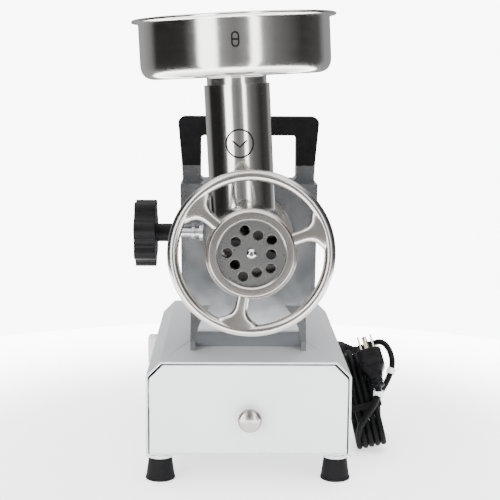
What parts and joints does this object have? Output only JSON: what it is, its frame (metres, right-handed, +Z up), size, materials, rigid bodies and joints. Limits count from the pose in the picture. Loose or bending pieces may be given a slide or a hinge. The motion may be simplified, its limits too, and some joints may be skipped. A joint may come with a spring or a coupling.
{
  "type": "electric meat grinder",
  "caption": "Counter-top meat grinder: round pan and feed tube over a barrel with a ring wheel, geared motor behind, on a drawer cabinet with rubber feet.",
  "frame": {"origin": "on the table under the middle of the object's bounding box, cord left out", "axes": "+X to the right as seen from the front, +Y from the grinding plate to the motor, +Z up"},
  "size_m": [0.2568, 0.3846, 0.4204],
  "materials": {
    "satin_silver": "satin silver-grey paint",
    "front_white": "satin pale grey paint",
    "zinc_sheet": "bright zinc",
    "zinc_part": "bright zinc",
    "black_rubber": "matt black rubber",
    "cast_alloy": "polished casting",
    "polished_steel": "polished stainless steel",
    "satin_steel": "satin stainless steel",
    "plate_steel": "ground steel",
    "machined_steel": "turned steel",
    "bearing_steel": "ground bearing steel",
    "black_plastic": "moulded black plastic",
    "black_gloss": "glossy black plastic",
    "grey_plastic": "light grey plastic",
    "nylon": "natural nylon",
    "white_plastic": "white plastic",
    "bronze": "bearing bronze",
    "copper": "enamelled copper wire",
    "lamination": "stacked steel sheet",
    "cord_skin": "black cord sheath",
    "plug_brass": "nickelled brass"
  },
  "bodies": {
    "base": {"cabinet_shell": "satin_silver", "cabinet_floor": "zinc_sheet", "cabinet_bulkhead": "zinc_sheet", "feet": "black_rubber", "foot_spacers": "zinc_part", "foot_screws": "zinc_part", "drawer_runners": "zinc_sheet", "gear_housing": "cast_alloy", "gear_cover": "cast_alloy", "bearing_bridge": "cast_alloy", "bearings": "bearing_steel", "housing_screws": "machined_steel", "pedestal_bolts": "zinc_part", "index_pin": "machined_steel", "lock_bush": "zinc_part", "carry_handle": "black_plastic", "handle_screws": "zinc_part", "motor_tube": "satin_silver", "stator_core": "lamination", "windings": "copper", "motor_cap": "black_plastic", "motor_cradle": "cast_alloy", "capacitor": "white_plastic", "capacitor_clamp": "zinc_part", "terminal_block": "white_plastic", "switch_frame": "grey_plastic", "cable_gland": "black_plastic", "cord_lead": "cord_skin", "cord_hank": "cord_skin", "cord_tail": "cord_skin", "cord_tie": "white_plastic", "hank_strap": "black_plastic", "plug_body": "black_plastic", "plug_blades": "plug_brass"},
    "drawer": {"drawer_tray": "zinc_sheet", "drawer_front": "front_white", "drawer_knob": "satin_steel"},
    "stud": {"lock_stud": "machined_steel"},
    "knob": {"lock_knob": "black_plastic"},
    "output": {"output_shaft": "machined_steel", "output_gear": "machined_steel"},
    "idler": {"idler_shaft": "machined_steel", "idler_gear": "nylon", "idler_pinion": "machined_steel"},
    "rotor": {"rotor_core": "lamination", "motor_shaft": "machined_steel", "motor_pinion": "machined_steel", "cooling_fan": "black_plastic"},
    "rocker": {"switch_rocker": "black_gloss"},
    "seal": {"seal_ring": "nylon"},
    "head": {"head_body": "polished_steel", "head_bush": "bronze"},
    "auger": {"worm": "satin_steel", "worm_shank": "machined_steel", "front_pin": "machined_steel", "thrust_washer": "nylon", "cross_knife": "plate_steel"},
    "plate": {"grinding_plate": "plate_steel"},
    "wheel": {"ring_wheel": "satin_steel"},
    "pan": {"meat_pan": "polished_steel"}
  },
  "joints": [
    {"name": "drawer_slide", "type": "slide", "parent": "base", "child": "drawer", "axis": [0, -1, 0], "range_m": [0, 0.13]},
    {"name": "head_pull", "type": "slide", "parent": "base", "child": "seal", "axis": [0, -1, 0], "range_m": [0, 0.09]},
    {"name": "head_twist", "type": "hinge", "parent": "seal", "child": "head", "pos_m": [-0.00438, -0.0757, 0.225], "axis": [0, 1, 0], "range_deg": [0, 6]},
    {"name": "pan_lift", "type": "slide", "parent": "head", "child": "pan", "axis": [-0.0523, 0, 0.9986], "range_m": [0, 0.06]},
    {"name": "auger_spin", "type": "hinge", "parent": "head", "child": "auger", "pos_m": [-0.00438, -0.0977, 0.225], "axis": [0, -1, 0], "continuous": true},
    {"name": "plate_out", "type": "slide", "parent": "head", "child": "plate", "axis": [0, -1, 0], "range_m": [0, 0.0091]},
    {"name": "ring_turn", "type": "hinge", "parent": "plate", "child": "wheel", "pos_m": [-0.00438, -0.1777, 0.225], "axis": [0, -1, 0], "range_deg": [0, 1080]},
    {"name": "motor_spin", "type": "hinge", "parent": "base", "child": "rotor", "pos_m": [-0.00438, 0.0803, 0.219], "axis": [0, -1, 0], "continuous": true},
    {"name": "idler_spin", "type": "hinge", "parent": "base", "child": "idler", "pos_m": [-0.00438, 0.0023, 0.1815], "axis": [0, -1, 0], "continuous": true},
    {"name": "output_spin", "type": "hinge", "parent": "base", "child": "output", "pos_m": [-0.00438, -0.0077, 0.225], "axis": [0, -1, 0], "continuous": true},
    {"name": "stud_out", "type": "slide", "parent": "base", "child": "stud", "axis": [-1, 0, 0], "range_m": [0, 0.0025]},
    {"name": "lock_turn", "type": "hinge", "parent": "stud", "child": "knob", "pos_m": [-0.09438, -0.0537, 0.225], "axis": [-1, 0, 0], "range_deg": [0, 720]},
    {"name": "switch_rock", "type": "hinge", "parent": "base", "child": "rocker", "pos_m": [-0.09813, 0.0773, 0.0865], "axis": [0, -1, 0], "range_deg": [0, 18]}
  ],
  "couplings": [
    {"joint": "idler_spin", "follows": "motor_spin", "ratio": -0.25},
    {"joint": "output_spin", "follows": "motor_spin", "ratio": 0.095238},
    {"joint": "auger_spin", "follows": "motor_spin", "ratio": 0.095238},
    {"joint": "plate_out", "follows": "ring_turn", "m_per_rad": 0.00047746},
    {"joint": "lock_turn", "follows": "stud_out", "rad_per_m": 5026.5}
  ]
}
